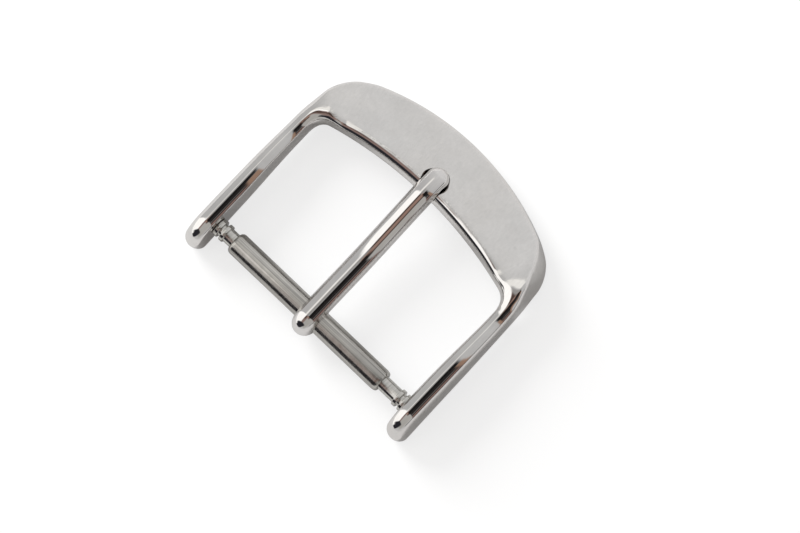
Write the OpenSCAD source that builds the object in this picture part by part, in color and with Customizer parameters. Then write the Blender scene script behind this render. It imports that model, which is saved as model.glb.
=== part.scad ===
/* [Frame] */
// Width of the strap end that fits between the arms
strap_w = 16; // [14:0.5:20]
// Width of an arm at the spring bar
arm_w = 1.2; // [1:0.05:1.5]
// Height of an arm's top above the axis of the spring bar
arm_top = 1.55; // [1.45:0.05:1.9]
// Depth of the flat feet below the axis of the spring bar
foot_drop = 1.25; // [1.22:0.02:1.5]
// Length of an arm past the axis of the spring bar
arm_tail = 2.1; // [1.8:0.1:2.6]
// Rounding of an arm's free end, seen from the side, above and below
end_round = [1.9, 0.9];
// Clear length of the window, from the axis of the bar to the middle of the plate
window_l = 9.9; // [9:0.1:12]
// Radius of the plate's inner edge, seen from above
window_arc_r = 28; // [22:1:40]
// Radius of the window's two inner corners
window_corner_r = 1.2; // [0.8:0.1:2]
// Width of the plate at its middle
plate_w = 4.3; // [3.6:0.1:5]
// Radius of the plate's outer edge, seen from above
plate_arc_r = 17.5; // [15.5:0.5:24]
// Radius of the plate's outer corners
plate_corner_r = 2.4; // [1.4:0.1:3]
// Radius of the arms' outer sides, which bow out a little
side_arc_r = 170; // [120:10:400]
// How far the arms' inner faces open towards the plate, each
arm_splay = 0.1; // [0:0.02:0.15]
// How far the hand-finished arcs of the window and of the plate lie off the middle
window_off = 0.3; // [0:0.1:0.8]
plate_off = 0.16; // [0:0.02:0.4]
// How far the outer sides lean in at the plate's left and right corner
corner_lean = [0.4, 0.9];
// Slope of the plate's face, down towards its outer edge
plate_slope = 20; // [14:1:22]
// Thickness of the plate at its inner edge, where it spans between the deeper arms
plate_t = 1.1; // [1:0.05:1.4]
// Radius of the rounded rim between the window and the plate's face
rim_r = 0.6; // [0.4:0.02:0.65]
// Radius of the plate's outer top edge
edge_r = 0.26; // [0.15:0.02:0.35]
// Radius of the edges underneath
under_r = 0.2; // [0.1:0.02:0.25]
// Height of the plate's rim above the axis of the spring bar
rim_top = 1.5; // [1.3:0.05:1.6]
// How far the arms' tops dip below their long arch where they meet the plate
dip = 0.14; // [0:0.02:0.2]
// Radius of the long arch of the arms' tops, along the strap
crown_r = 100; // [80:10:200]
// Radius of the hollow underneath, which follows the wrist
belly_r = 60; // [50:5:120]
// How much of the hollow's ends is ground away to make the flat feet
foot_grind = 0.2; // [0.1:0.02:0.26]

/* [Tang] */
// Thickness of the tang's round rod
tang_d = 1.48; // [1.3:0.02:1.6]
// Length of the tang, from the axis of the bar to its tip
tang_l = 11.87; // [11:0.05:12.2]
// Radius of the tang's eye
eye_r = 1.3; // [1.2:0.02:1.4]
// How far the middle of the eye lies above and behind the axis of its bore
eye_shift = 0.16; // [0.1:0.01:0.2]
// Width of the eye along the bar
eye_w = 1.44; // [1.4:0.02:1.7]
// Rounding of the eye's rims
eye_edge_r = 0.5; // [0.3:0.02:0.52]
// Slope of the rod beyond its knee, up towards the plate
tang_rise = 5; // [4:0.1:6]
// Distance of that knee from the axis of the bar
knee_y = 4.8; // [4:0.1:5.5]
// Radius of the knee
knee_r = 25; // [10:1:35]
// How far the tip is bent down
tip_bend = 20; // [14:1:24]
// Radius of that bend
tip_bend_r = 4; // [3:0.25:6]
// Gap beside the tang in its notch in the plate
notch_gap = 0.145; // [0.1:0.005:0.2]
// Gap under the tang where it lies in the notch
seat_gap = 0.05; // [0.03:0.01:0.08]
// Radial play of the tang's eye on the bar
eye_play = 0.03; // [0.02:0.01:0.06]

/* [Spring bar] */
// Diameter of the bar's tube
tube_d = 1.5; // [1.4:0.02:1.56]
// Wall of the tube
tube_wall = 0.18; // [0.15:0.01:0.2]
// Depth of the lip that is rolled in at each end of the tube
lip_l = 0.25; // [0.2:0.01:0.35]
// Length of the rounding at the left and at the right end of the tube
lip_round_l = [0.28, 0.36];
// How far that rounding narrows the tube at the left and at the right end
lip_round_in = [0.19, 0.12];
// Radial play of the plungers in the lips and of their heads in the tube
plunger_play = 0.02; // [0.01:0.005:0.04]
// Diameter of a plunger's neck, between the tube and the flanges
neck_d = 0.97; // [0.9:0.01:1]
// Length of neck that shows at the left and at the right end of the tube
neck_show = [0.62, 1.24];
// Length of neck between the first flange and the head inside the tube
neck_l = 1.54; // [1.5:0.02:1.7]
// Length of a plunger's head inside the tube
head_l = 1.3; // [1:0.1:1.6]
// Diameter of the two flanges
flange_d = 1.2; // [1.1:0.02:1.3]
// Thickness of the flange next to the tube
flange_l = 0.27; // [0.2:0.01:0.32]
// Diameter of the groove between the flanges, where a removing tool grips
groove_d = 0.87; // [0.8:0.01:0.92]
// Width of that groove
groove_l = 0.19; // [0.15:0.01:0.25]
// Length of the shoulder flange that rests against the arm
shoulder_l = 0.3; // [0.2:0.01:0.36]
// Gap between the shoulder and the arm
shoulder_gap = 0.03; // [0.02:0.01:0.05]
// Diameter of a plunger's tip
tip_d = 0.72; // [0.6:0.02:0.76]
// How far the tip stays inside the arm's outer face
tip_inset = 0.1; // [0.05:0.01:0.2]
// Radial play of the tip in the arm's hole
tip_play = 0.04; // [0.02:0.01:0.06]
// Diameter of the spring's wire
wire_d = 0.14; // [0.1:0.01:0.16]
// Number of turns of the spring
spring_turns = 18; // [12:1:24]
// Gap around the spring and at its two ends
spring_gap = 0.05; // [0.04:0.01:0.08]

/* [Hidden] */
$fn = 48;
little = 0.01;

half_w = strap_w / 2;
outer_w = half_w + arm_w;
plate_y = window_l + plate_w;
slope = tan(plate_slope);

// Where the arms' tops lie level, at the top of their long arch
crown_y = 1.7;
// Where the dip begins and how long it is, and the same for the climb to the plate's rim
dip_start = 4;
dip_l = 3.6;
climb_y = 7.5;
climb_l = 4.5;
// Middle and half length of the hollow underneath
belly_y = (plate_y - arm_tail) / 2;
belly_half = (plate_y + arm_tail) / 2;

// Seen from above, with the arm on the left: the centres of the window's arc, of the plate's arc
// and of the window's corner. The lean is 1 on the left half and -1 on the mirrored right half
function window_c(lean) = [-lean * window_off, window_l - window_arc_r];
function plate_c(lean) = [-lean * plate_off, plate_y - plate_arc_r];
function corner_c(lean) =
    let (
        c = window_c(lean),
        x = window_corner_r - half_w - arm_splay,
        far = window_arc_r - window_corner_r)
    [x, c[1] + sqrt(far ^ 2 - (x - c[0]) ^ 2)];
// Where the arm's inner side begins to open and its outer side to bow in, and the centre of the bow
side_start = 2;
side_c = [side_arc_r - outer_w, side_start];

// Steps of the frame's loft: the arm's end, the arm, the corner and half of the plate
end_steps = 7;
arm_steps = 6;
corner_steps = 20;
plate_steps = 16;
// How much closer the plate's steps lie near its ends
plate_crowd = 1.5;
// Steps of a section's rounded corners, at its top and at its bottom
top_steps = 6;
under_steps = 2;
// Share of the width that each of the two roundings of a full round top takes
round_share = 0.49;

function smooth(t) = t <= 0 ? 0 : t >= 1 ? 1 : t * t * (3 - 2 * t);
function mix(a, b, t) = a + (b - a) * t;
function unit(v) = v / norm(v);
function ray(a) = [cos(a), sin(a)];

// Distance from p along d to a circle that holds p
function reach(p, d, c, r) =
    let (m = p - c, b = m * d)
    -b + sqrt(b * b - m * m + r * r);
// Centre of the round corner where the plate's arc meets the side's bow, inside of both
function outer_corner_c(lean) =
    let (
        m = plate_c(lean),
        v = side_c - m,
        l = norm(v),
        u = v / l,
        r_plate = plate_arc_r - plate_corner_r,
        r_side = side_arc_r - plate_corner_r,
        along = (r_plate ^ 2 - r_side ^ 2 + l * l) / (2 * l),
        aside = sqrt(r_plate ^ 2 - along ^ 2))
    m + along * u + aside * [-u[1], u[0]];
// Distance from p along d to the frame's outline, which is the side, the corner or the plate's arc
function to_outline(p, d, lean) =
    let (
        f = outer_corner_c(lean),
        to_side = f + plate_corner_r * unit(f - side_c) - p,
        to_plate = f + plate_corner_r * unit(f - plate_c(lean)) - p)
    d[0] / d[1] < to_side[0] / to_side[1] || d[1] < little ? reach(p, d, side_c, side_arc_r)
    : d[0] / d[1] > to_plate[0] / to_plate[1] ? reach(p, d, plate_c(lean), plate_arc_r)
    : reach(p, d, f, plate_corner_r);

function crown_z(y) =
    arm_top - (y - crown_y) ^ 2 / (2 * crown_r) - dip * smooth((y - dip_start) / dip_l);
// Height of the top at the point p, seen from above: it climbs round the corner to the plate's rim
function rim_z(p) =
    let (climb = max(0, min(1, ((p[0] + half_w + 0.7) * 0.6 + (p[1] - climb_y) * 0.8) / climb_l)))
    mix(crown_z(p[1]), rim_top, climb * (2 - climb));
function belly_z(y) =
    (belly_half ^ 2 - (y - belly_y) ^ 2) / (2 * belly_r) - foot_drop - foot_grind;
// Drop of a rounding of radius r at the distance d from the end
function round_drop(d, r) = d >= r ? 0 : r - sqrt(r * r - (r - d) ^ 2);

// Points of one rounded corner at p, between the directions to a and to b
function corner(a, p, b, r, n) =
    let (
        u = unit(a - p),
        v = unit(b - p),
        half = acos(u * v) / 2,
        c = p + unit(u + v) * r / sin(half),
        s = p + u * r / tan(half) - c,
        e = p + v * r / tan(half) - c,
        from = atan2(s[1], s[0]),
        turn = atan2(e[1], e[0]) - from,
        sweep = turn > 180 ? turn - 360 : turn < -180 ? turn + 360 : turn)
    [for (i = [0:n]) c + r * ray(from + sweep * i / n)];

// One section across the bar of metal, from the inner point p to the outer point q, seen from above.
// Its top falls from top_p to top_q, and its outer side leans in by lean
function section(p, q, lean, top_p, top_q, low_p, low_q, r_p, r_q) =
    let (
        w = norm(q - p),
        d = (q - p) / w,
        a = [0, top_p],
        b = [w - lean, mix(top_q, top_p, lean / w)],
        c = [w, low_q],
        e = [0, low_p],
        r_low = min(under_r, round_share * w),
        line = concat(
            corner(e, a, b, r_p, top_steps),
            corner(a, b, c, r_q, top_steps),
            corner(b, c, e, r_low, under_steps),
            corner(c, e, a, r_low, under_steps)))
    [for (s = line) [p[0] + d[0] * s[0], p[1] + d[1] * s[0], s[1]]];

// The arm's outer side at y
function side_x(y) =
    y < side_start ? -outer_w : side_c[0] - sqrt(side_arc_r ^ 2 - (y - side_start) ^ 2);
function arm_section(y) =
    let (
        d = y + arm_tail,
        x_in = -half_w - arm_splay * smooth((y - side_start) / (window_l / 2)),
        x_out = side_x(y),
        half = (x_in - x_out) / 2,
        w = d >= half ? half : sqrt(half ^ 2 - (half - d) ^ 2),
        mid = (x_in + x_out) / 2,
        top = crown_z(y) - round_drop(d, end_round[0]),
        low = belly_z(y) + round_drop(d, end_round[1]),
        r = 2 * round_share * w)
    section([mid + w, y], [mid - w, y], 0, top, top, low, low, r, r);
// The lean of the outer side at the outline's point q, which grows past the arm and fades on the plate
lean_y = [corner_c(1)[1], plate_y - plate_corner_r];
lean_x = [0.72 * outer_w, 0.96 * outer_w];
function side_lean(q, lean) = (lean > 0 ? corner_lean[0] : corner_lean[1])
    * smooth((q[1] - lean_y[0]) / (lean_y[1] - lean_y[0]))
    * smooth((-q[0] - lean_x[0]) / (lean_x[1] - lean_x[0]));
// A section at the angle a round c, t of the way from the arm to the plate
function turn_section(c, a, r_in, t, lean) =
    let (
        d = ray(a),
        p = c + r_in * d,
        q = c + to_outline(c, d, lean) * d,
        w = norm(q - p),
        grow = smooth(t),
        top_p = rim_z(p),
        top_q = top_p - slope * grow * w,
        low_p = mix(belly_z(p[1]), top_p - plate_t, grow),
        r_arm = round_share * min(w, arm_w),
        r_p = mix(r_arm, rim_r, grow),
        r_q = mix(r_arm, edge_r, smooth(t * t)))
    section(p, q, side_lean(q, lean), top_p, top_q, low_p, belly_z(q[1]), r_p, r_q);

end_depths = [for (i = [0:end_steps - 1])
    max(little, end_round[0] * (1 - cos(90 * i / end_steps)))];
arm_start = end_round[0] - arm_tail;
// Sections from the arm's free end to the middle of the plate
function half_rings(lean) =
    let (
        turn_c = corner_c(lean),
        arc_c = window_c(lean),
        turn_a = atan2(turn_c[1] - arc_c[1], turn_c[0] - arc_c[0]))
    concat(
        [for (d = end_depths) arm_section(d - arm_tail)],
        [for (i = [0:arm_steps - 1]) arm_section(mix(arm_start, turn_c[1], i / arm_steps))],
        [for (i = [0:corner_steps - 1])
            let (t = i / corner_steps)
            turn_section(turn_c, mix(180, turn_a, t), window_corner_r, t, lean)],
        [for (i = [0:plate_steps])
            let (a = mix(turn_a, 90, (i / plate_steps) ^ plate_crowd))
            turn_section(arc_c, a, window_arc_r, 1, lean)]);
left_rings = half_rings(1);
right_rings = half_rings(-1);
frame_rings = concat(
    left_rings,
    [for (i = [len(right_rings) - 2:-1:0]) [for (p = right_rings[i]) [-p[0], p[1], p[2]]]]);

// Triangles between rings of m points, with a flat face at each end
function skin(n, m) = concat(
    [[for (j = [0:m - 1]) j]],
    [for (i = [0:n - 2], j = [0:m - 1]) [i * m + j, (i + 1) * m + j, (i + 1) * m + (j + 1) % m]],
    [for (i = [0:n - 2], j = [0:m - 1]) [i * m + j, (i + 1) * m + (j + 1) % m, i * m + (j + 1) % m]],
    [[for (j = [m - 1:-1:0]) (n - 1) * m + j]]);

// The tang's rod starts just under the top of its eye
tang_r = tang_d / 2;
rod_sink = 0.02;
rod_z = eye_r + eye_shift - rod_sink - tang_r;
tip_angle = tang_rise - tip_bend;
// Half length of the knee, and the centre of its bend
knee_l = knee_r * tan(tang_rise / 2);
knee_c = [knee_y - knee_l, rod_z + knee_r];
// Where the tip's bend begins, so that the tip ends at tang_l
bend_y = tang_l - tang_r - tip_bend_r * (sin(tang_rise) - sin(tip_angle));
bend_z = rod_z + (bend_y - knee_y) * tan(tang_rise);
bend_c = [bend_y + tip_bend_r * sin(tang_rise), bend_z - tip_bend_r * cos(tang_rise)];
tip_c = bend_c + tip_bend_r * [-sin(tip_angle), cos(tip_angle)];

// Places along the bar, counted from its middle towards an arm
shoulder_x = half_w - shoulder_gap;
groove_x = shoulder_x - shoulder_l;
flange_x = groove_x - groove_l;
neck_x = flange_x - flange_l;
head_x = neck_x - neck_l;
head_end = head_x - head_l;
tip_x = outer_w - tip_inset;
tube_ends = [neck_show[0] - neck_x, neck_x - neck_show[1]];
tube_r = tube_d / 2;
bore_r = tube_r - tube_wall;
lip_r = neck_d / 2 + plunger_play;
head_r = bore_r - plunger_play;
tip_hole_r = tip_d / 2 + tip_play;
spring_r = bore_r - spring_gap - wire_d / 2;
spring_l = 2 * (head_end - spring_gap) - wire_d;

// The round rod with its knee, its bent tip and its rounded end, of radius r and raised by lift
rod_sides = 24;
knee_steps = 3;
bend_steps = 4;
tip_steps = 5;
// One ring of the rod, round the point c of its middle line, which climbs at the angle b there
function rod_ring(c, b, r) =
    [for (j = [0:rod_sides - 1])
        let (a = -360 * j / rod_sides)
        [r * cos(a), c[0] - r * sin(a) * sin(b), c[1] + r * sin(a) * cos(b)]];
function rod_rings(r) = concat(
    [rod_ring([0, rod_z], 0, r)],
    [for (i = [0:knee_steps])
        let (b = tang_rise * i / knee_steps)
        rod_ring(knee_c + knee_r * [sin(b), -cos(b)], b, r)],
    [for (i = [0:bend_steps])
        let (b = mix(tang_rise, tip_angle, i / bend_steps))
        rod_ring(bend_c + tip_bend_r * [-sin(b), cos(b)], b, r)],
    [for (i = [1:tip_steps])
        let (a = 84 * i / tip_steps)
        rod_ring(tip_c + r * sin(a) * ray(tip_angle), tip_angle, r * cos(a))]);
module rod(r, lift) {
    rings = rod_rings(r);
    translate([0, 0, lift])
        polyhedron(
            points = [for (s = rings, p = s) p],
            faces = skin(len(rings), rod_sides),
            convexity = 3);
}

// Plate and two arms, one piece of polished steel
module frame() {
    color([0.78, 0.78, 0.77])
        difference() {
            polyhedron(
                points = [for (s = frame_rings, p = s) p],
                faces = skin(len(frame_rings), len(frame_rings[0])),
                convexity = 6);
            translate([-outer_w - 1, -arm_tail - 1, -foot_drop - 2])
                cube([2 * outer_w + 2, plate_y + arm_tail + 2, 2]);
            rotate([0, 90, 0])
                cylinder(r = tip_hole_r, h = 2 * outer_w + 1, center = true);
            rod(tang_r + notch_gap, notch_gap - seat_gap);
        }
}

// Round rod with an eye that turns on the bar
module tang() {
    color([0.8, 0.8, 0.79])
        difference() {
            union() {
                translate([0, -eye_shift, eye_shift])
                    rotate([0, 90, 0])
                        rotate_extrude()
                            eye_profile();
                rod(tang_r, 0);
            }
            rotate([0, 90, 0])
                cylinder(r = tube_r + eye_play, h = eye_w + 1, center = true);
        }
}
module eye_profile() {
    flat = eye_w / 2 - eye_edge_r;
    union() {
        translate([0, -eye_w / 2])
            square([eye_r - eye_edge_r, eye_w]);
        translate([0, -flat])
            square([eye_r, 2 * flat]);
        for (side = [-1, 1])
            translate([eye_r - eye_edge_r, side * flat])
                circle(r = eye_edge_r);
    }
}

// Half section of the tube: the outer side with rounded ends, and the bore with its two lips
module tube_profile() {
    ends = tube_ends;
    round_steps = 5;
    outside = [for (k = [0, 1], i = [0:round_steps])
        let (
            a = 90 * (k == 0 ? i : round_steps - i) / round_steps,
            s = k == 0 ? -1 : 1)
        [tube_r - lip_round_in[k] * (1 - sin(a)), s * (abs(ends[k]) - lip_round_l[k] * (1 - cos(a)))]];
    polygon(concat(outside, [
        [lip_r, ends[1]],
        [lip_r, ends[1] - lip_l],
        [bore_r, ends[1] - lip_l],
        [bore_r, ends[0] + lip_l],
        [lip_r, ends[0] + lip_l],
        [lip_r, ends[0]]]));
}
module spring_bar_tube() {
    color([0.62, 0.61, 0.58])
        rotate([0, 90, 0])
            rotate_extrude()
                tube_profile();
}

// Turned pin: head, neck, flange, groove, shoulder and tip
module plunger() {
    rotate([0, 90, 0])
        rotate_extrude()
            polygon([
                [0, head_end],
                [head_r, head_end],
                [head_r, head_x],
                [neck_d / 2, head_x],
                [neck_d / 2, neck_x],
                [flange_d / 2, neck_x],
                [flange_d / 2, flange_x],
                [groove_d / 2, flange_x],
                [groove_d / 2, groove_x],
                [flange_d / 2, groove_x],
                [flange_d / 2, shoulder_x],
                [tip_d / 2, shoulder_x],
                [tip_d / 2, tip_x],
                [0, tip_x]]);
}
module plunger_left() {
    color([0.66, 0.65, 0.62])
        mirror([1, 0, 0])
            plunger();
}
module plunger_right() {
    color([0.66, 0.65, 0.62])
        plunger();
}

// Compression spring inside the tube, between the two heads
module coil_spring() {
    wire_sides = 6;
    turn_steps = 10;
    n = spring_turns * turn_steps;
    rings = [for (i = [0:n])
        let (a = 360 * i / turn_steps, x = spring_l * (i / n - 0.5))
        [for (j = [0:wire_sides - 1])
            let (b = 360 * j / wire_sides, r = spring_r + wire_d / 2 * cos(b))
            [x + wire_d / 2 * sin(b), r * cos(a), r * sin(a)]]];
    color([0.5, 0.5, 0.5])
        polyhedron(
            points = [for (s = rings, p = s) p],
            faces = skin(len(rings), wire_sides),
            convexity = 8);
}

frame();
tang();
spring_bar_tube();
plunger_left();
plunger_right();
coil_spring();
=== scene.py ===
import math

import bpy
import numpy as np
from mathutils import Matrix, Vector


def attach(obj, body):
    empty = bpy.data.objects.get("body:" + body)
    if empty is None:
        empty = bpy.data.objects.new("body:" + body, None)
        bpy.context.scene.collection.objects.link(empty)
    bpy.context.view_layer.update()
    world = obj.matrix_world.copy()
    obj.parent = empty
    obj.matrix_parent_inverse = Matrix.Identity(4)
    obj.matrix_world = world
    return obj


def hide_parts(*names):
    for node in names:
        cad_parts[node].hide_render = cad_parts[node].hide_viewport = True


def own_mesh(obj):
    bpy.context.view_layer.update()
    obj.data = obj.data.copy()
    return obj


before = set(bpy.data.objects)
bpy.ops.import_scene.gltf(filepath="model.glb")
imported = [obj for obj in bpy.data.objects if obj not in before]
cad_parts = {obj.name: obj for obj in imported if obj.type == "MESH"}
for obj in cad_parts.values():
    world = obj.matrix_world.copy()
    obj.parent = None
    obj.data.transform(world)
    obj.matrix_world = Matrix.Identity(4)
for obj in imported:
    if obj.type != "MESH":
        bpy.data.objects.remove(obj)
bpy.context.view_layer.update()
scene = bpy.context.scene
scene.view_settings.view_transform = "Standard"
MM = 0.001

# The camera looks down on the buckle, a little from its right, from so far away that the lines stay parallel
camera_lean = math.radians(10.5)
camera_turn = math.radians(43.5)
camera_far = 400 * MM
view_width = 48.39 * MM
toward_camera = Vector((math.sin(camera_lean), 0, math.cos(camera_lean)))
across = Vector((math.cos(camera_lean), 0, -math.sin(camera_lean)))
along = Vector((0, 1, 0))
image_right = math.cos(camera_turn) * across + math.sin(camera_turn) * along
image_up = math.cos(camera_turn) * along - math.sin(camera_turn) * across
aim_right, aim_up = 5.292, 2.958
aim = (aim_right * image_right + aim_up * image_up) * MM
camera_data = bpy.data.cameras.new("camera")
camera_data.sensor_width = 36
camera_data.lens = camera_data.sensor_width * camera_far / view_width
camera_data.clip_start = 0.01
camera_data.clip_end = 10
camera = bpy.data.objects.new("camera", camera_data)
scene.collection.objects.link(camera)
camera.matrix_world = Matrix.Translation(aim + camera_far * toward_camera) @ Matrix(
    (image_right, image_up, toward_camera)).transposed().to_4x4()
scene.camera = camera

# Frame: the arched plate and its two arms are one piece of stainless steel, forged, ground and
# mirror-polished. The arms are flat-sided bars with a ridged top, drilled across for the bar's tips.
# The face of the plate slopes down outwards, and a notch in its inner rim holds the end of the tang.
half_w, arm_w, arm_top, foot_drop, arm_tail = 8.0, 1.2, 1.55, 1.25, 2.1
outer_w = half_w + arm_w
end_round = (1.9, 0.9)
window_l, window_arc_r, window_corner_r = 9.9, 28.0, 1.2
plate_w, plate_arc_r, plate_corner_r = 4.3, 17.5, 2.4
plate_y = window_l + plate_w
side_arc_r, side_start, arm_splay = 170.0, 2.0, 0.1
window_off, plate_off = 0.3, 0.16
plate_slope, plate_t = math.tan(math.radians(20)), 1.25
rim_r, edge_r, under_r, corner_r = 0.72, 0.26, 0.2, 0.5
crown_r, crown_y, belly_r, foot_grind = 100.0, 1.7, 60.0, 0.2
belly_y, belly_half = (plate_y - arm_tail) / 2, (plate_y + arm_tail) / 2

# The arm's dip before the plate, its climb round the corner to the rim, and the rim's roll to the window
dip, dip_start, dip_l = 0.14, 4.0, 3.6
climb_x, climb_y, climb_l, climb_soft, rim_top = 0.7, 7.5, 4.5, 0.12, 1.5
climb_way = (0.6, 0.8)
roll, roll_l, roll_start, roll_grow, roll_soft = 0.3, 0.9, 0.1, 0.9, 0.2

# The ridge along an arm: the radius of its two arcs and their middles, as shares of the arm's width
arc_share, ridge_in, ridge_out, ridge_soft = 0.63, 0.53, 0.37, 0.03

# Hand polishing at the plate's left (1) and right (-1) corner: how far the outer side leans in, where the
# fall of the face begins and is full, how steeply the face rises before it, and how late it falls
corner_lean = {1: 0.4, -1: 0.9}
corner_polish = {1: (0.1, 1.0, 0.0, 0.85), -1: (0.55, 1.3, 0.06, 0.6)}
fall_soft, rise_from = 0.3, 0.4

# Where on the way round the corner the late fall and the rise come in and go out, each a start and a length
late_in, late_out, rise_in, rise_out = (-0.2, 0.4), (0.8, 0.6), (-0.1, 0.4), (0.75, 0.5)


def smooth(t):
    t = np.clip(t, 0, 1)
    return t * t * (3 - 2 * t)


def mix(a, b, t):
    return a + (b - a) * t


def unit(v):
    return np.asarray(v, float) / np.linalg.norm(v)


def soft_min(a, b, k):
    """The lesser of two values, with the step between them rounded over about k."""
    h = np.clip(0.5 + 0.5 * (b - a) / k, 0, 1)
    return mix(b, a, h) - k * h * (1 - h)


def soft_max(a, b, k):
    return -soft_min(-a, -b, k)


def reach(p, d, c, r):
    """Distance from p along d to a circle that holds p."""
    m = p - c
    b = m @ d
    return -b + math.sqrt(b * b - m @ m + r * r)


# The frame is made of two halves, and hand says which: 1 is the left one, and -1 the right one, which is
# made as a left one too and then mirrored
def window_centre(hand):
    return np.array([-hand * window_off, window_l - window_arc_r])


def plate_centre(hand):
    return np.array([-hand * plate_off, plate_y - plate_arc_r])


def window_corner(hand):
    c = window_centre(hand)
    x = window_corner_r - half_w - arm_splay
    return np.array([x, c[1] + math.sqrt((window_arc_r - window_corner_r) ** 2 - (x - c[0]) ** 2)])


side_centre = np.array([side_arc_r - outer_w, side_start])


def outer_corner(hand):
    m = plate_centre(hand)
    v = side_centre - m
    far = np.linalg.norm(v)
    u = v / far
    r_plate, r_side = plate_arc_r - plate_corner_r, side_arc_r - plate_corner_r
    near = (r_plate ** 2 - r_side ** 2 + far * far) / (2 * far)
    return m + near * u + math.sqrt(r_plate ** 2 - near ** 2) * np.array([-u[1], u[0]])


def to_outline(p, d, hand):
    """Distance from p along d to the outline: the bowed side, the round corner or the plate's arc."""
    f = outer_corner(hand)
    side = f + plate_corner_r * unit(f - side_centre) - p
    top = f + plate_corner_r * unit(f - plate_centre(hand)) - p
    if d[1] < 0.01 or d[0] / d[1] < side[0] / side[1]:
        return reach(p, d, side_centre, side_arc_r)
    if d[0] / d[1] > top[0] / top[1]:
        return reach(p, d, plate_centre(hand), plate_arc_r)
    return reach(p, d, f, plate_corner_r)


def belly_z(y):
    return (belly_half ** 2 - (y - belly_y) ** 2) / (2 * belly_r) - foot_drop - foot_grind


def round_drop(d, r):
    return 0 if d >= r else r - math.sqrt(r * r - (r - d) ** 2)


def soft_ramp(x, k):
    """0 below zero and x above it, with the bend between them rounded over about k."""
    return soft_max(x, np.zeros_like(x), k)


def top_z(x, y, s, t, hand):
    """Height of the polished top, at the distance s from the window and t of the way round its corner.

    The arm is bowed and dips before the plate, climbs round the corner to the plate's rim, and the
    plate's face then falls away outwards. In the corner the fall begins later, more so on the right.
    """
    arm = arm_top - (y - crown_y) ** 2 / (2 * crown_r) - dip * smooth((y - dip_start) / dip_l)
    path = ((x + half_w + climb_x) * climb_way[0] + (y - climb_y) * climb_way[1]) / climb_l
    path = np.minimum(soft_ramp(path, climb_soft), 1)
    crest = mix(arm, rim_top, path * (2 - path))
    begin, full, steep, start = corner_polish[hand]
    grow = smooth((t - begin) / (full - begin))
    late = (1 - smooth((t - late_out[0]) / late_out[1])) * smooth((t - late_in[0]) / late_in[1])
    steep = steep * smooth((t - rise_in[0]) / rise_in[1]) * (1 - smooth((t - rise_out[0]) / rise_out[1]))
    fall = plate_slope * grow * soft_ramp(s - start * late, fall_soft)
    rise_before = steep * soft_ramp(s - rise_from, fall_soft)
    return crest - fall + rise_before - roll_drop(t) * (soft_ramp(roll_l - s, roll_soft) / roll_l) ** 2


def roll_drop(t):
    """How far the rim of the plate rolls down to the window, t of the way round the window's corner."""
    return roll * float(smooth((t - roll_start) / roll_grow))


def rounded(corners, radii):
    """Closed outline with its corners rounded, from fine arcs and straight runs."""
    out = []
    n = len(corners)
    for i, (p, r) in enumerate(zip(corners, radii)):
        u, v = unit(corners[i - 1] - p), unit(corners[(i + 1) % n] - p)
        half = math.acos(u @ v) / 2
        c = p + unit(u + v) * r / math.sin(half)
        s, e = p + u * r / math.tan(half) - c, p + v * r / math.tan(half) - c
        start = math.atan2(s[1], s[0])
        turn = (math.atan2(e[1], e[0]) - start + math.pi) % (2 * math.pi) - math.pi
        a = start + turn * np.linspace(0, 1, 41)
        out.append(c + r * np.stack([np.cos(a), np.sin(a)], 1))
    return np.concatenate(out + [out[0][:1]])


# Points in a ring, and how much closer they lie where the outline bends and near its inner upper edge,
# which is left at near_s from the window and near_z under the top, each a start and a length
ring_points, bend_weight, near_weight, near_s, near_z = 168, 0.5, 2.5, (2.4, 0.5), (-0.6, 0.3)


def even(line):
    """ring_points points along a closed outline, closer together where it bends and near the window."""
    seg = np.diff(line, axis=0)
    length = np.linalg.norm(seg, axis=1)
    angle = np.unwrap(np.arctan2(seg[:, 1], seg[:, 0]))
    bend = np.abs(np.diff(angle, append=angle[-1:]))
    near = smooth((near_s[0] - line[1:, 0]) / near_s[1])
    dense = 1 + near_weight * near * smooth((line[1:, 1] - near_z[0]) / near_z[1])
    w = np.concatenate([[0], np.cumsum(length * dense + bend_weight * bend)])
    at = np.linspace(0, w[-1], ring_points, endpoint=False)
    return np.stack([np.interp(at, w, line[:, 0]), np.interp(at, w, line[:, 1])], 1)


def softened(line, wide, n=1200):
    """Closed outline with its corners softened over about that width."""
    at = np.concatenate([[0], np.cumsum(np.linalg.norm(np.diff(line, axis=0), axis=1))])
    places = np.linspace(0, at[-1], n, endpoint=False)
    points = np.stack([np.interp(places, at, line[:, 0]), np.interp(places, at, line[:, 1])])
    blur = np.exp(-2 * (math.pi * wide * np.fft.rfftfreq(n, at[-1] / n)) ** 2)
    soft = np.fft.irfft(np.fft.rfft(points, axis=1) * blur, n, axis=1).T
    return np.concatenate([soft, soft[:1]])


def arm_outline(w, low_p, low_q, r_low):
    """Outline of an arm: flat sides under two arcs, which meet in a soft ridge nearer the window."""
    r = arc_share * w
    lift = r - math.sqrt(r * r - ((ridge_in - ridge_out) * w / 2) ** 2)
    meet = math.asin((ridge_in - ridge_out) * w / 2 / r)
    a = np.linspace(math.asin(ridge_in * w / r), meet, 40)
    b = np.linspace(meet, math.asin(min(1, (1 - ridge_out) * w / r)), 60)
    quarter = np.linspace(0, math.pi / 2, 20)
    return np.concatenate([
        np.stack([r_low * (1 - np.sin(quarter)), low_p + r_low * (1 - np.cos(quarter))], 1),
        np.stack([ridge_in * w - r * np.sin(a), lift - r * (1 - np.cos(a))], 1),
        np.stack([ridge_out * w + r * np.sin(b), lift - r * (1 - np.cos(b))], 1),
        np.stack([w - r_low * (1 - np.cos(quarter)), low_q + r_low * (1 - np.sin(quarter))], 1),
        np.array([[r_low, low_p]])])


# The largest rounding and the ridge's softness as shares of the width, and how fast the top's bow fades
# downwards
most_round, soft_share, bow_fade = 0.49, 0.05, 1.5


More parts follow.
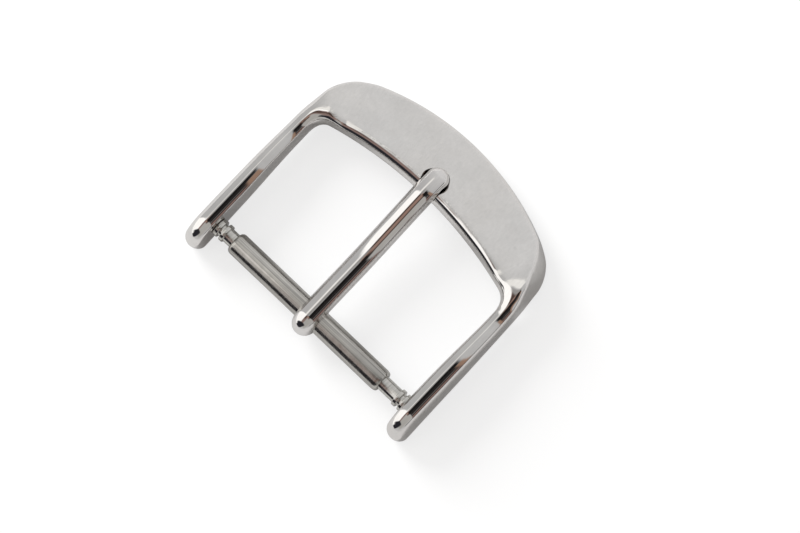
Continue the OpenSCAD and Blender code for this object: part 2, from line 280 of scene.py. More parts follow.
def section(p, q, t, side, hand, low_p, low_q, r_p, r_q, drop=0.0, plate=0.0):
    """Ring across the bar of metal from the inner point p to the outer point q, both seen from above.

    side is the lean of the outer side, low_p and low_q the heights of its lower edges, r_p and r_q
    the roundings of its upper edges where it is plate, drop lowers its top, and plate is 0 on the arms.
    """
    w = np.linalg.norm(q - p)
    d = (q - p) / w
    ends = top_z(*np.array([p, q]).T, np.array([0, w]), t, hand) - drop
    r_low = min(under_r, most_round * w)
    ring = 0
    if plate < 1:
        line = arm_outline(w, low_p - ends[0], low_q - ends[1], r_low)
        ring = (1 - plate) * even(softened(line, min(ridge_soft, soft_share * w)))
    if plate > 0:
        corners = [np.array(c, float) for c in
                   [(0, low_p - ends[0]), (0, 0), (w - side, 0), (w, low_q - ends[1])]]
        ring = ring + plate * even(rounded(corners, [r_low, r_p, r_q, r_low]))
    s, z = ring.T
    x, y = p[:, None] + d[:, None] * s
    straight = mix(ends[0], ends[1], s / w)
    depth = z / mix(low_p - ends[0], low_q - ends[1], s / w)
    bow = (top_z(x, y, s, t, hand) - drop - straight) * (1 - smooth(depth * bow_fade))
    return np.stack([x, y, z + straight + bow], 1)


def side_x(y):
    return -outer_w if y < side_start else side_centre[0] - math.sqrt(side_arc_r ** 2 - (y - side_start) ** 2)


def arm_section(y, hand):
    d = y + arm_tail
    x_in = -half_w - arm_splay * float(smooth((y - side_start) / (window_l / 2)))
    x_out = side_x(y)
    half = (x_in - x_out) / 2
    w = half if d >= half else math.sqrt(half ** 2 - (half - d) ** 2)
    mid = (x_in + x_out) / 2
    low = belly_z(y) + round_drop(d, end_round[1])
    return section(np.array([mid + w, y]), np.array([mid - w, y]), 0, 0, hand, low, low,
                   0, 0, round_drop(d, end_round[0]))


# Between which places the outer side begins to lean in, past the arm, and is upright again on the plate
lean_y = (window_corner(1)[1], plate_y - plate_corner_r)
lean_x = (0.72 * outer_w, 0.96 * outer_w)


def side_lean(q, hand):
    grow = smooth((q[1] - lean_y[0]) / (lean_y[1] - lean_y[0]))
    fade = smooth((-q[0] - lean_x[0]) / (lean_x[1] - lean_x[0]))
    return corner_lean[hand] * float(grow * fade)


# How the arm turns into the plate along the way round the corner: where the rim's rounding starts and over
# what length it grows, the length over which the section changes, the softness of the limit to an arm's
# rounding, and how far outside the window the way is measured
rim_in, plate_in, arm_soft, way_off = (0.7, 1.5), 0.8, 0.3, 0.65


def turn_section(c, a, r_in, t, hand):
    """Ring at the angle a round c, t of the way round the window's corner, and past 1 along the plate."""
    d = np.array([math.cos(a), math.sin(a)])
    p = c + r_in * d
    q = c + to_outline(c, d, hand) * d
    w = np.linalg.norm(q - p)
    grow = float(smooth(t))
    top_p = float(top_z(p[:1], p[1:], np.zeros(1), t, hand)[0])
    low_p = mix(belly_z(p[1]), top_p + roll_drop(t) - plate_t, grow)
    r_arm = most_round * float(soft_min(np.array(w), np.array(arm_w), arm_soft))
    r_p = mix(mix(r_arm, corner_r, grow), rim_r, float(smooth((t - rim_in[0]) / rim_in[1])))
    return section(p, q, t, side_lean(q, hand), hand, low_p, belly_z(q[1]), r_p,
                   mix(r_arm, edge_r, float(smooth(t * t))), plate=float(smooth(t / plate_in)))


# Rings in each stretch of a half, which lie closer within notch_half of the middle, and where in the round
# end the first one lies
end_steps, arm_steps, corner_steps, plate_steps, notch_steps, notch_half = 30, 50, 60, 44, 46, 1.35
first_depth = 0.004


def half_rings(hand):
    """Rings from the arm's free end to the middle of the plate, on the left side."""
    turn_c, arc_c = window_corner(hand), window_centre(hand)
    turn_a = math.atan2(turn_c[1] - arc_c[1], turn_c[0] - arc_c[0])
    depths = [max(first_depth, end_round[0] * (1 - math.cos(math.pi / 2 * i / end_steps)))
              for i in range(end_steps)]
    rings = [arm_section(d - arm_tail, hand) for d in depths]
    rings += [arm_section(mix(end_round[0] - arm_tail, turn_c[1], i / arm_steps), hand)
              for i in range(arm_steps)]
    for i in range(corner_steps):
        t = i / corner_steps
        rings.append(turn_section(turn_c, mix(math.pi, turn_a, t), window_corner_r, t, hand))
    notch_a = math.pi / 2 + math.asin(notch_half / window_arc_r)
    angles = [mix(turn_a, notch_a, i / plate_steps) for i in range(plate_steps)]
    angles += [mix(notch_a, math.pi / 2, i / notch_steps) for i in range(notch_steps + 1)]
    t_per_angle = window_arc_r / (math.pi - turn_a) / (window_corner_r + way_off)
    rings += [turn_section(arc_c, a, window_arc_r, 1 + (turn_a - a) * t_per_angle, hand) for a in angles]
    return rings


# The middle line of the tang, which the notch follows: level over the bar, then rising, then bent down
tang_r, tang_l = 0.74, 11.87
eye_r, eye_shift, eye_w, eye_edge_r = 1.29, 0.16, 1.48, 0.74
rise, tip_bend, tip_bend_r, knee_y, knee_r = math.radians(5), math.radians(20), 4.0, 4.8, 25.0
rod_z = eye_r + eye_shift - tang_r
tip_angle = rise - tip_bend
knee_l = knee_r * math.tan(rise / 2)
bend_y = tang_l - tang_r - tip_bend_r * (math.sin(rise) - math.sin(tip_angle))
bend_z = rod_z + (bend_y - knee_y) * math.tan(rise)


def spine(n_knee=24, n_bend=24):
    line = [(-eye_shift, rod_z)]
    for i in range(n_knee + 1):
        b = rise * i / n_knee
        line.append((knee_y - knee_l + knee_r * math.sin(b), rod_z + knee_r * (1 - math.cos(b))))
    c = (bend_y + tip_bend_r * math.sin(rise), bend_z - tip_bend_r * math.cos(rise))
    for i in range(n_bend + 1):
        b = mix(rise, tip_angle, i / n_bend)
        line.append((c[0] - tip_bend_r * math.sin(b), c[1] + tip_bend_r * math.cos(b)))
    return np.array(line)


spine_line = spine()


def to_rod(v, r):
    """Signed distance from the points v to the rod of radius r."""
    best = np.full(len(v), 1e9)
    for a, b in zip(spine_line[:-1], spine_line[1:]):
        ab = b - a
        p = v[:, 1:] - a
        t = np.clip(p @ ab / (ab @ ab), 0, 1)
        off = p - t[:, None] * ab
        best = np.minimum(best, np.sqrt(v[:, 0] ** 2 + (off ** 2).sum(1)))
    return best - r


def mesh_object(name, vertices, faces):
    """A mesh at the origin, from vertices in millimetres."""
    mesh = bpy.data.meshes.new(name)
    mesh.from_pydata((np.asarray(vertices) * MM).tolist(), [], faces)
    mesh.update()
    obj = bpy.data.objects.new(name, mesh)
    scene.collection.objects.link(obj)
    return obj


def bake(obj):
    """Turns the modifiers of a piece into its mesh, and removes them."""
    bpy.context.view_layer.update()
    mesh = bpy.data.meshes.new_from_object(obj.evaluated_get(bpy.context.evaluated_depsgraph_get()))
    obj.modifiers.clear()
    obj.data = mesh
    mesh.name = obj.name


def skin(rings):
    """Quads between rings, with a flat face at each end."""
    n, m = len(rings), len(rings[0])
    faces = [[i * m + j, (i + 1) * m + j, (i + 1) * m + (j + 1) % m, i * m + (j + 1) % m]
             for i in range(n - 1) for j in range(m)]
    return faces + [list(range(m)), list(range(n * m - 1, (n - 1) * m - 1, -1))]


def rod_rings(radius, sides=32, cap=(20, 40, 60, 75, 88)):
    """Rings round the tang's middle line, with a rounded tip."""
    line = spine_line
    ways = np.gradient(line, axis=0)
    ways /= np.linalg.norm(ways, axis=1, keepdims=True)
    rings = [(c, w, radius) for c, w in zip(line, ways)]
    for a in np.radians(cap):
        rings.append((line[-1] + radius * math.sin(a) * ways[-1], ways[-1], radius * math.cos(a)))
    turn = np.arange(sides) * 2 * math.pi / sides
    return [np.stack([r * np.cos(turn), c[0] - r * np.sin(turn) * w[1], c[1] + r * np.sin(turn) * w[0]], 1)
            for c, w, r in rings]


def add(tree, kind, inputs=None, **settings):
    """A node of that kind, whose inputs are numbers, colours or the sockets that feed them."""
    node = tree.nodes.new(kind)
    for key, value in settings.items():
        setattr(node, key, value)
    for key, value in (inputs or {}).items():
        if isinstance(value, bpy.types.NodeSocket):
            tree.links.new(value, node.inputs[key])
        else:
            node.inputs[key].default_value = value
    return node


def sums(tree, operation, *values):
    """Output of a Math node."""
    return add(tree, "ShaderNodeMath", dict(enumerate(values)), operation=operation).outputs[0]


def turning_tree():
    """Turns a line of points, each a place along the X axis and a radius, round that axis."""
    tree = bpy.data.node_groups.new("turning", "GeometryNodeTree")
    tree.is_modifier = True
    for name, kind in (("Profile", "Geometry"), ("Points", "Int"), ("Sides", "Int"),
                       ("Material", "Material")):
        tree.interface.new_socket(name, in_out="INPUT", socket_type="NodeSocket" + kind)
    tree.interface.new_socket("Piece", in_out="OUTPUT", socket_type="NodeSocketGeometry")
    given = add(tree, "NodeGroupInput").outputs
    row = sums(tree, "ADD", given["Sides"], 1.0)
    grid = add(tree, "GeometryNodeMeshGrid", {"Vertices X": given["Points"], "Vertices Y": row})
    count = sums(tree, "ADD", add(tree, "GeometryNodeInputIndex").outputs[0], 0.5)
    place = sums(tree, "FLOOR", sums(tree, "DIVIDE", count, row))
    side = sums(tree, "FLOOR", sums(tree, "MODULO", count, row))
    angle = sums(tree, "DIVIDE", sums(tree, "MULTIPLY", side, 2 * math.pi), given["Sides"])
    point = add(tree, "GeometryNodeSampleIndex", {
        "Geometry": given["Profile"], "Value": add(tree, "GeometryNodeInputPosition").outputs[0],
        "Index": place}, data_type="FLOAT_VECTOR")
    axes = add(tree, "ShaderNodeSeparateXYZ", {0: point.outputs[0]}).outputs
    spot = add(tree, "ShaderNodeCombineXYZ", {
        "X": axes["X"], "Y": sums(tree, "MULTIPLY", axes["Y"], sums(tree, "COSINE", angle)),
        "Z": sums(tree, "MULTIPLY", axes["Y"], sums(tree, "SINE", angle))})
    turned = add(tree, "GeometryNodeSetPosition", {"Geometry": grid.outputs[0], "Position": spot.outputs[0]})
    closed = add(tree, "GeometryNodeMergeByDistance", {"Geometry": turned.outputs[0], "Distance": 1e-7})
    plain = add(tree, "GeometryNodeRealizeInstances", {"Geometry": closed.outputs[0]})
    done = add(tree, "GeometryNodeSetMaterial", {"Geometry": plain.outputs[0], "Material": given["Material"]})
    add(tree, "NodeGroupOutput", {"Piece": done.outputs[0]})
    return tree


def run_tree(obj, tree, **values):
    """Runs a node tree on the piece, with its named inputs, and keeps the mesh that comes out."""
    modifier = obj.modifiers.new("tree", "NODES")
    modifier.node_group = tree
    for item in tree.interface.items_tree:
        if item.in_out == "INPUT" and item.name in values:
            modifier[item.identifier] = values[item.name]
    bake(obj)


turning = turning_tree()


def turned(name, line, material, sides):
    """A piece turned about the X axis from a line of (place along it, radius), in millimetres."""
    obj = mesh_object(name, [(x, r, 0) for x, r in line], [])
    run_tree(obj, turning, Points=len(line), Sides=sides, Material=material)
    return obj


rings = half_rings(1)
rings += [r * np.array([-1, 1, 1]) for r in half_rings(-1)[-2::-1]]
shell = np.concatenate(rings)

# The feet and the outer edge underneath are ground flat, in one plane
ground_soft = 0.015
shell[:, 2] = np.maximum(soft_max(shell[:, 2], np.full(len(shell), -foot_drop), ground_soft), -foot_drop)
buckle_frame = mesh_object("buckle_frame", shell, skin(rings))


# How many of each kind of mark there are in a millimetre of the steel, and how much tone and gloss vary
clouds_per_mm, grain_per_mm, warm_per_mm, gloss_per_mm, waves_per_mm = 0.7, 9.0, 0.25, 2.5, 0.9
warm_tones, gloss_shares = (0.98, 1.0), (0.8, 1.3)


def steel(name, colour, roughness, grain, marks, waves, tones=(0.95, 1.03), streaks=(1.0, 1.0)):
    """Bare stainless steel: clouds in its tone and gloss, fine marks along one way and a little waviness.

    grain stretches the marks, and is small along the way that they run; marks and waves are heights in
    millimetres; tones and streaks are the shares of the colour in the clouds and along the marks.
    """
    material = bpy.data.materials.new(name)
    material.use_nodes = True
    tree = material.node_tree
    shader = tree.nodes["Principled BSDF"]
    place = add(tree, "ShaderNodeTexCoord").outputs["Object"]

    def noise(per_mm, stretch=(1, 1, 1), detail=2.0):
        laid = add(tree, "ShaderNodeMapping", {
            "Vector": place, "Scale": tuple(per_mm / MM * k for k in stretch)})
        return add(tree, "ShaderNodeTexNoise", {
            "Vector": laid.outputs[0], "Scale": 1.0, "Detail": detail, "Roughness": 0.6}).outputs[0]

    def spread(value, low, high):
        return add(tree, "ShaderNodeMapRange", {
            0: value, "From Min": 0.3, "From Max": 0.7, "To Min": low, "To Max": high}).outputs[0]

    clouds, fine = noise(clouds_per_mm, detail=4.0), noise(grain_per_mm, grain)
    tone = sums(tree, "MULTIPLY", spread(clouds, *tones), spread(fine, *streaks))
    warm = spread(noise(warm_per_mm), *warm_tones)
    shares = (tone, sums(tree, "MULTIPLY", tone, sums(tree, "SQRT", warm)),
              sums(tree, "MULTIPLY", tone, warm))
    parts = [sums(tree, "MULTIPLY", share, part) for share, part in zip(shares, colour)]
    shade = add(tree, "ShaderNodeCombineColor", dict(enumerate(parts)))
    gloss = sums(tree, "MULTIPLY", spread(noise(gloss_per_mm), *gloss_shares), roughness)
    height = sums(tree, "ADD", sums(tree, "MULTIPLY", fine, marks),
                  sums(tree, "MULTIPLY", noise(waves_per_mm, detail=0.0), waves))
    bump = add(tree, "ShaderNodeBump", {"Height": height, "Distance": MM, "Strength": 1.0})
    shader.inputs["Metallic"].default_value = 1
    tree.links.new(shade.outputs[0], shader.inputs["Base Color"])
    tree.links.new(gloss, shader.inputs["Roughness"])
    tree.links.new(bump.outputs[0], shader.inputs["Normal"])
    return material, tree, shader, noise, spread


frame_steel, tree, shader, noise, spread = steel(
    "polished_frame_steel", (0.80, 0.785, 0.77), roughness=0.045, grain=(1, 0.04, 1), marks=0.0003,
    waves=0.007, streaks=(0.97, 1.02))

# The face of the plate and the underside are worn to a satin finish, with fine scratches and a few pits
scratches_per_mm, scratch_depth, scratch_share = 7.0, 0.0012, 0.06
pits_per_mm, pit_depth, pit_edge = 0.8, 0.008, (0.04, 0.16)
uneven_per_mm, uneven_depth, satin_per_mm, satin_gloss = 1.6, 0.02, 1.1, (0.1, 0.2)
satin = add(tree, "ShaderNodeAttribute", attribute_name="satin").outputs["Fac"]
scratches = sums(tree, "ADD", noise(scratches_per_mm, (1, scratch_share, 1)),
                 noise(scratches_per_mm, (scratch_share, 1, 1)))
pits = add(tree, "ShaderNodeTexVoronoi", {
    "Vector": add(tree, "ShaderNodeTexCoord").outputs["Object"], "Scale": pits_per_mm / MM})
hollow = add(tree, "ShaderNodeMapRange", {
    0: pits.outputs["Distance"], "From Min": pit_edge[0], "From Max": pit_edge[1], "To Min": -1.0,
    "To Max": 0.0}).outputs[0]
worn = sums(tree, "ADD", sums(tree, "MULTIPLY", scratches, scratch_depth),
            sums(tree, "MULTIPLY", hollow, pit_depth))
worn = sums(tree, "ADD", worn, sums(tree, "MULTIPLY", noise(uneven_per_mm, detail=4.0), uneven_depth))
worn = sums(tree, "MULTIPLY", worn, satin)
marks = add(tree, "ShaderNodeBump", {
    "Height": worn, "Distance": MM, "Normal": shader.inputs["Normal"].links[0].from_socket})
tree.links.new(marks.outputs[0], shader.inputs["Normal"])
gloss = shader.inputs["Roughness"].links[0].from_socket
duller = sums(tree, "MULTIPLY", satin, spread(noise(satin_per_mm), *satin_gloss))
tree.links.new(sums(tree, "ADD", gloss, duller), shader.inputs["Roughness"])

# The holes for the bar's tips are drilled through both arms, with a small countersink on each side
tip_hole_r, hole_sink, bite = 0.4, 0.05, 0.3
drill_line = [(-outer_w - bite, 0), (-outer_w - bite, tip_hole_r + hole_sink + bite),
              (hole_sink - outer_w, tip_hole_r), (-half_w - hole_sink, tip_hole_r),
              (bite - half_w, tip_hole_r + hole_sink + bite)]
drill_line += [(-x, r) for x, r in drill_line[::-1]]
drill = turned("drill", drill_line, frame_steel, sides=96)

# The notch is milled by a round-nosed cutter along the last part of the tang's line, and opened a little
# wider beside its tip
notch_gap, seat_gap, swell, swell_y, swell_l, mill_part = 0.03, 0.05, 0.18, 10.97, 0.6, 48
mill_rings = rod_rings(tang_r + notch_gap, sides=128, cap=range(4, 90, 4))[-mill_part:]
mill_shape = np.concatenate(mill_rings) + [0, 0, notch_gap - seat_gap]
mill_shape[:, 0] *= 1 + swell * smooth(1 - np.abs(mill_shape[:, 1] - swell_y) / swell_l)
mill = mesh_object("mill", mill_shape, skin(mill_rings))
for cutter in (drill, mill):
    cut = buckle_frame.modifiers.new(cutter.name, "BOOLEAN")
    cut.operation = "DIFFERENCE"
    cut.solver = "EXACT"
    cut.object = cutter
bake(buckle_frame)
for cutter in (drill, mill):
    bpy.data.objects.remove(cutter)


def finish_surface(obj, material, sharp=35):
    """One material, and smooth shading up to the edges that are sharper than that angle."""
    obj.data.materials.clear()
    obj.data.materials.append(material)
    obj.data.shade_smooth()
    obj.data.set_sharp_from_angle(angle=math.radians(sharp))


finish_surface(buckle_frame, frame_steel)

# The satin grows in where the plate's face looks outwards and up, away from the arms, and underneath, each
# over a start and a length
look_out, look_up, face_from, look_down = (0.1, 0.15), (0.5, 0.3), (8, 1.5), (0.4, 0.4)
count = len(buckle_frame.data.vertices)
places, ways = np.empty(3 * count, np.float32), np.empty(3 * count, np.float32)
buckle_frame.data.vertices.foreach_get("co", places)
buckle_frame.data.vertices.foreach_get("normal", ways)
places, ways = places.reshape(-1, 3) / MM, ways.reshape(-1, 3)
face = smooth((ways[:, 1] - look_out[0]) / look_out[1]) * smooth((ways[:, 2] - look_up[0]) / look_up[1])
face = face * smooth((places[:, 1] - face_from[0]) / face_from[1])
under = smooth((-ways[:, 2] - look_down[0]) / look_down[1])
buckle_frame.data.attributes.new("satin", "FLOAT", "POINT").data.foreach_set(
    "value", np.maximum(face, under).astype(np.float32))
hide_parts("frame")
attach(buckle_frame, "frame")

# Tang: a round stainless rod with a bent tip, forged out at its other end to an eye that turns on the bar.
# It is polished like the frame, so that the rod melts into the eye without a line.
eye_melt, melt_from, melt_l, bore_edge, eye_play, tube_r = (0.004, 0.5), 0.25, 0.4, 0.06, 0.03, 0.75
tang_grid, tang_passes = 0.06, 6


def tang_distance(v):
    """Signed distance from the points v to the tang's surface."""
    flat = np.abs(v[:, 0]) - (eye_w / 2 - eye_edge_r)
    round_ = np.hypot(v[:, 1] + eye_shift, v[:, 2] - eye_shift) - (eye_r - eye_edge_r)
    eye = (np.minimum(np.maximum(flat, round_), 0)
           + np.hypot(np.maximum(flat, 0), np.maximum(round_, 0)) - eye_edge_r)
    bore = tube_r + eye_play - np.hypot(v[:, 1], v[:, 2])
    melt = mix(*eye_melt, smooth((melt_from - v[:, 2]) / melt_l))
    return soft_max(soft_min(to_rod(v, tang_r), eye, melt), bore, bore_edge)


def slope_of(distance, v, step=1e-3):
    """Direction in which the distance grows, at each point."""
    steps = [distance(v + step * e) - distance(v - step * e) for e in np.eye(3)]
    slope = np.stack(steps, 1)
    return slope / np.linalg.norm(slope, axis=1, keepdims=True)


# The rod, the eye and the bore are joined at a thousand times their size, where the cells of the remesh
# can be fine enough, and each point is then moved onto the exact surface
rod = rod_rings(tang_r)
tang = mesh_object("buckle_tang", np.concatenate(rod) / MM, skin(rod))
eye_line = [(-eye_w / 2, 0), (-eye_w / 2, eye_r), (eye_w / 2, eye_r), (eye_w / 2, 0)]
bore_line = [(-eye_w, 0), (-eye_w, tube_r + eye_play), (eye_w, tube_r + eye_play), (eye_w, 0)]
tang_steel, *_ = steel("polished_tang_steel", (0.80, 0.785, 0.775), roughness=0.04, grain=(1, 0.04, 1),
                       marks=0.0003, waves=0.007, streaks=(0.97, 1.02))
for name, line, shift, operation in (("eye", eye_line, eye_shift, "UNION"),
                                     ("bore", bore_line, 0, "DIFFERENCE")):
    tool = turned(name, [(x / MM, r / MM) for x, r in line], tang_steel, sides=64)
    tool.data.transform(Matrix.Translation((0, -shift, shift)))
    cut = tang.modifiers.new(name, "BOOLEAN")
    cut.operation = operation
    cut.solver = "EXACT"
    cut.object = tool
    bake(tang)
    bpy.data.objects.remove(tool)
remesh = tang.modifiers.new("even mesh", "REMESH")
remesh.mode = "VOXEL"
remesh.voxel_size = tang_grid
bake(tang)
v = np.empty(3 * len(tang.data.vertices), np.float32)
tang.data.vertices.foreach_get("co", v)
v = v.reshape(-1, 3).astype(float)
for _ in range(tang_passes):
    v -= tang_distance(v)[:, None] * slope_of(tang_distance, v)
tang_normals = slope_of(tang_distance, v)
tang.data.vertices.foreach_set("co", (v * MM).astype(np.float32).ravel())
tang.data.update()
finish_surface(tang, tang_steel, sharp=180)
tang.data.normals_split_custom_set_from_vertices(tang_normals.tolist())
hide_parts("tang")
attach(tang, "tang")

# Tube of the spring bar: drawn stainless tube, with its ends rolled in over the heads of the two pins.
# Fine lines from the drawing die run along it.
tube_wall, lip_r, lip_l = 0.18, 0.505, 0.25
tube_ends = (-6.59, 5.97)
lip_round_l, lip_round_in = (0.28, 0.36), (0.19, 0.12)
lip_edge = 0.04


def rounded_line(points, radii, steps=8):
    """Open line with its inner corners rounded to the given radii."""
    out = [np.array(points[0], float)]
    for a, p, b, r in zip(points, points[1:], points[2:], radii):
        a, p, b = (np.array(q, float) for q in (a, p, b))
        u, v = unit(a - p), unit(b - p)
        half = math.acos(np.clip(u @ v, -1, 1)) / 2
        if r == 0 or half > 1.5:
            out.append(p)
            continue
        c = p + unit(u + v) * r / math.sin(half)
        s, e = p + u * r / math.tan(half) - c, p + v * r / math.tan(half) - c
        start = math.atan2(s[1], s[0])
        turn = (math.atan2(e[1], e[0]) - start + math.pi) % (2 * math.pi) - math.pi
        out += [c + r * np.array([math.cos(start + turn * t), math.sin(start + turn * t)])
                for t in np.linspace(0, 1, steps)]
    return out + [np.array(points[-1], float)]


def tube_line():
    """Half section of the tube: its rounded ends, the outside, and the bore between the two lips."""
    low, high = tube_ends
    line = []
    for k, end, way in ((0, low, -1), (1, high, 1)):
        arc = [(end - way * lip_round_l[k] * (1 - math.cos(a)), tube_r - lip_round_in[k] * (1 - math.sin(a)))
               for a in np.linspace(0, math.pi / 2, 10)]
        line += arc if k == 0 else arc[::-1]
    bore = tube_r - tube_wall
    inner = [(high, lip_r + lip_edge), (high - lip_edge, lip_r), (high - lip_l, lip_r), (high - lip_l, bore),
             (low + lip_l, bore), (low + lip_l, lip_r), (low + lip_edge, lip_r), (low, lip_r + lip_edge)]
    return line + inner + line[:1]


tube_steel, *_ = steel("brushed_tube_steel", (0.56, 0.545, 0.515), roughness=0.2, grain=(0.012, 1, 1),
                       marks=0.0016, waves=0.006, tones=(0.9, 1.05), streaks=(0.5, 1.15))
bar_tube = turned("bar_tube", tube_line(), tube_steel, sides=96)
finish_surface(bar_tube, tube_steel)
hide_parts("spring_bar_tube")
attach(bar_tube, "bar")

# Pins of the spring bar: turned stainless steel, each with a head inside the tube, a neck, two flanges and
# a tip. The springbar tool catches in the groove between the flanges.
head_end, head_x, neck_x, flange_x, groove_x, shoulder_x, tip_x = 4.37, 5.67, 7.21, 7.48, 7.67, 7.97, 9.1
head_r, neck_r, flange_r, groove_r, tip_r = 0.55, 0.485, 0.6, 0.435, 0.36
pin_steel, *_ = steel("turned_pin_steel", (0.64, 0.63, 0.6), roughness=0.14, grain=(1, 0.03, 0.03),
                      marks=0.0012, waves=0.004, tones=(0.9, 1.05), streaks=(0.8, 1.08))
pin_points = [(head_end, 0), (head_end, head_r), (head_x, head_r), (head_x, neck_r), (neck_x, neck_r),
              (neck_x, flange_r), (flange_x, flange_r), (flange_x, groove_r), (groove_x, groove_r),
              (groove_x, flange_r), (shoulder_x, flange_r), (shoulder_x, tip_r), (tip_x, tip_r), (tip_x, 0)]
pin_rounds = [0.05, 0.03, 0.03, 0.03, 0.04, 0.04, 0.03, 0.03, 0.05, 0.05, 0.03, 0.15]
for side, name in ((-1, "left"), (1, "right")):
    line = rounded_line(pin_points, pin_rounds)
    line = [(side * x, r) for x, r in line][::side]
    pin = turned("bar_pin_" + name, line, pin_steel, sides=72)
    finish_surface(pin, pin_steel)
    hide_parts("plunger_" + name)
    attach(pin, "plunger_" + name)

# Spring inside the tube: bright steel wire, wound as one coil that pushes both pins outwards.
# It is made in two halves, one for each pin.
wire_r, spring_r, spring_half, turns_half = 0.07, 0.45, 4.32, 9


def coil_tree():
    """Winds a wire into a coil along the X axis."""
    tree = bpy.data.node_groups.new("coil", "GeometryNodeTree")
    tree.is_modifier = True
    for name, kind in (("Start", "Float"), ("Length", "Float"), ("Turns", "Float"), ("Radius", "Float"),
                       ("Wire", "Float"), ("Material", "Material")):
        tree.interface.new_socket(name, in_out="INPUT", socket_type="NodeSocket" + kind)
    tree.interface.new_socket("Piece", in_out="OUTPUT", socket_type="NodeSocketGeometry")
    given = add(tree, "NodeGroupInput").outputs
    coil = add(tree, "GeometryNodeCurveSpiral", {
        "Resolution": 28, "Rotations": given["Turns"], "Start Radius": given["Radius"],
        "End Radius": given["Radius"], "Height": given["Length"]})
    wire = add(tree, "GeometryNodeCurvePrimitiveCircle", {"Resolution": 12, "Radius": given["Wire"]})
    wound = add(tree, "GeometryNodeCurveToMesh", {
        "Curve": coil.outputs[0], "Profile Curve": wire.outputs[0], "Fill Caps": True})
    shift = add(tree, "ShaderNodeCombineXYZ", {"X": given["Start"]})
    laid = add(tree, "GeometryNodeTransform", {
        "Geometry": wound.outputs[0], "Translation": shift.outputs[0], "Rotation": (0, math.pi / 2, 0)})
    plain = add(tree, "GeometryNodeRealizeInstances", {"Geometry": laid.outputs[0]})
    done = add(tree, "GeometryNodeSetMaterial", {"Geometry": plain.outputs[0], "Material": given["Material"]})
    add(tree, "NodeGroupOutput", {"Piece": done.outputs[0]})
    return tree


spring_steel, *_ = steel("spring_wire_steel", (0.45, 0.45, 0.45), roughness=0.22, grain=(0.1, 1, 1),
                         marks=0.0008, waves=0.002, tones=(0.85, 1.08))
coil = coil_tree()
for name, start, travel in (("left", -spring_half, 0.59), ("right", 0, 1.2)):
    spring = mesh_object("bar_spring_" + name, [], [])
    run_tree(spring, coil, Start=start * MM, Length=spring_half * MM, Turns=float(turns_half),
             Radius=spring_r * MM, Wire=wire_r * MM, Material=spring_steel)
    finish_surface(spring, spring_steel)
    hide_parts("coil_spring")
    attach(spring, "bar")
    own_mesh(spring)

# Studio: a pale table under the buckle, soft grey light all round and one soft lamp from the upper left.
# The table is nearly white to the camera and greyer as the metal mirrors it.
table_half, table_mirrored, table_tone, table_shine, mirror_shine = 150.0, 0.62, 0.95, 0.72, 0.05
corners = [(table_half * x, table_half * y, -foot_drop) for x, y in ((-1, -1), (1, -1), (1, 1), (-1, 1))]
table = mesh_object("table", corners, [[0, 1, 2, 3]])
table_paint = bpy.data.materials.new("table_paint")
table_paint.use_nodes = True
tree = table_paint.node_tree
paint = tree.nodes["Principled BSDF"]
paint.inputs["Roughness"].default_value = 0.8
paint.inputs["Specular IOR Level"].default_value = 0
rays = add(tree, "ShaderNodeLightPath").outputs
mirrored = sums(tree, "MAXIMUM", rays["Is Glossy Ray"], rays["Is Transmission Ray"])
tone = add(tree, "ShaderNodeMix", {
    0: rays["Is Camera Ray"], 6: (*[table_mirrored] * 3, 1), 7: (*[table_tone] * 3, 1)}, data_type="RGBA")
tree.links.new(tone.outputs[2], paint.inputs["Base Color"])
white = add(tree, "ShaderNodeEmission", {"Color": (1, 1, 1, 1), "Strength": 1.0})
seen = sums(tree, "MAXIMUM", sums(tree, "MULTIPLY", rays["Is Camera Ray"], table_shine),
            sums(tree, "MULTIPLY", mirrored, mirror_shine))
shown = add(tree, "ShaderNodeMixShader", {0: seen, 1: paint.outputs[0], 2: white.outputs[0]})
tree.links.new(shown.outputs[0], tree.nodes["Material Output"].inputs["Surface"])
table.data.materials.append(table_paint)

world = bpy.data.worlds.new("studio")
scene.world = world
world.use_nodes = True
tree = world.node_tree
sky = tree.nodes["Background"]
sky.inputs["Strength"].default_value = 1
way = add(tree, "ShaderNodeSeparateXYZ", {0: add(tree, "ShaderNodeTexCoord").outputs["Generated"]}).outputs
around = sums(tree, "DEGREES", sums(tree, "ARCTAN2", way["X"], way["Z"]))
tilt = sums(tree, "DEGREES", sums(tree, "ARCSINE", way["Y"]))


def edge(value, start, soft):
    """0 where the value is well under start and 1 where it is well over it."""
    step = add(tree, "ShaderNodeMapRange", {
        0: sums(tree, "SUBTRACT", value, start), "From Min": -soft, "From Max": soft})
    step.interpolation_type = "SMOOTHSTEP"
    return step.outputs[0]


def panel(under, colour, left, right, low, high, soft):
    """Lays a soft-edged panel of that colour over the light so far.

    left and right are its sides, in degrees round the Y axis, each with its lean per degree of tilt; low
    and high are its ends, in degrees of tilt; soft is half the width of each of its four soft edges.
    """
    sides = [sums(tree, "ADD", side, sums(tree, "MULTIPLY", tilt, lean)) for side, lean in (left, right)]
    mask = sums(tree, "MULTIPLY", edge(around, sides[0], soft[0]),
                edge(sums(tree, "SUBTRACT", sides[1], around), 0.0, soft[1]))
    mask = sums(tree, "MULTIPLY", mask, edge(tilt, low, soft[2]))
    mask = sums(tree, "MULTIPLY", mask, edge(sums(tree, "SUBTRACT", high, tilt), 0.0, soft[3]))
    return add(tree, "ShaderNodeMix", {0: mask, 6: under, 7: (*colour, 1)}, data_type="RGBA").outputs[2]


wall = add(tree, "ShaderNodeMapRange", {
    "Value": tilt, "From Min": 0.0, "From Max": 45.0, "To Min": 0.52, "To Max": 0.75}).outputs[0]
light = add(tree, "ShaderNodeCombineColor", {0: wall, 1: wall, 2: wall}).outputs[0]
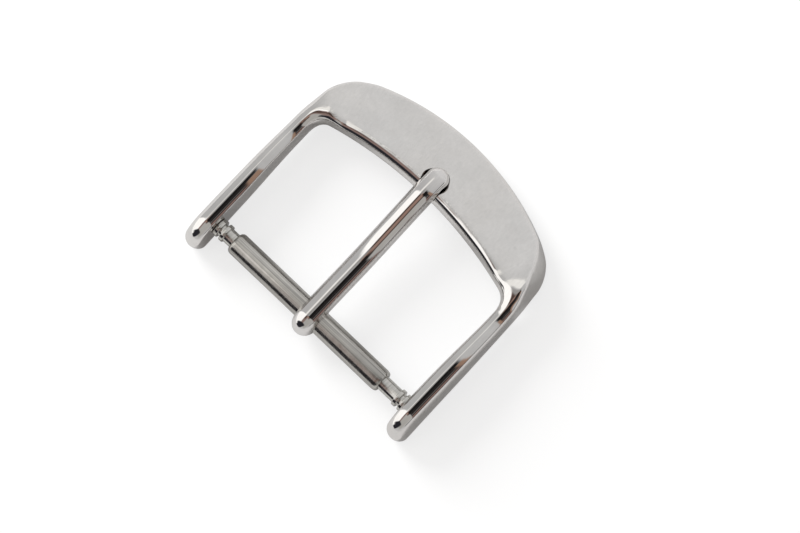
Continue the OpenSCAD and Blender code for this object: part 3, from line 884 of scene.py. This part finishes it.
# The room in the metal: grey walls, a softbox, then dark and brown objects round the table, in the order
# in which they cover each other
for colour, left, right, low, high, soft in (
        ((0.60, 0.60, 0.60), (-181, 0), (181, 0), -91, -8, (1, 1, 1, 8)),
        ((0.98, 0.97, 0.94), (-27, 0), (-12, 0), -8, 24, (3, 2, 3, 4)),
        ((0.36, 0.35, 0.34), (-10, 0.2), (8, 0), -64, 4, (2, 3, 4, 3)),
        ((0.46, 0.45, 0.43), (6, 0), (80, 0), -64, -4, (4, 8, 4, 4)),
        ((1.25, 1.24, 1.22), (-10, 9), (-10, 0.15), -76, -4.5, (10, 1.5, 3, 2)),
        ((0.28, 0.20, 0.18), (-10, 0.15), (14, 0), -56, -9, (1.5, 4, 3, 3)),
        ((0.09, 0.06, 0.05), (-9, 0), (3, 0), -26, -7, (1.5, 3, 6, 2)),
        ((0.34, 0.22, 0.18), (4, 0), (26, 0), -14, -3, (3, 3, 3, 1)),
        ((0.10, 0.07, 0.06), (24, 0), (34, 0), -14, -3, (2, 2, 3, 1)),
        ((0.34, 0.22, 0.16), (40, 0), (104, 0), 0.5, 4.3, (2, 3, 0.5, 0.8)),
        ((0.012, 0.011, 0.011), (12, 0), (40, 0), -6.5, 3.5, (2.5, 3, 1.5, 1.5)),
        ((0.018, 0.016, 0.016), (38, 0), (108, 0), -4.5, 1.5, (3, 3, 1, 0.5)),
        ((0.26, 0.24, 0.23), (56, 0), (60, 0), -5, 1, (2, 2, 1, 1)),
        ((0.26, 0.17, 0.15), (70, 0), (84, 0), -5, 1.5, (3, 3, 1, 1)),
        ((0.05, 0.045, 0.045), (86, 0), (116, 0), -30, 22, (3, 4, 8, 4)),
        ((0.025, 0.025, 0.03), (-130, 0), (-60, 0), -88, -60, (10, 6, 2, 3)),
        ((0.025, 0.025, 0.03), (-75, 0), (52, 0), -88, -50, (14, 8, 2, 3))):
    light = panel(light, colour, left, right, low, high, soft)

# The camera sees white behind the table
rays = add(tree, "ShaderNodeLightPath").outputs
shown = add(tree, "ShaderNodeMix", {0: rays["Is Camera Ray"], 6: light, 7: (1, 1, 1, 1)}, data_type="RGBA")
tree.links.new(shown.outputs[2], sky.inputs["Color"])

# The lamp isn't mirrored in the metal, where the softbox stands for it
key_size, key_far, key_power = 170, 300, 1.25
key_data = bpy.data.lights.new("key", "AREA")
key_data.shape = "DISK"
key_data.size = key_size * MM
key_data.energy = key_power
key = bpy.data.objects.new("key", key_data)
scene.collection.objects.link(key)
key_way = Vector((-0.8, 0.12, 0.42)).normalized()
key_turn = key_way.to_track_quat("Z", "Y").to_matrix().to_4x4()
key.matrix_world = Matrix.Translation(key_way * key_far * MM) @ key_turn
key.visible_camera = False
key.visible_glossy = False
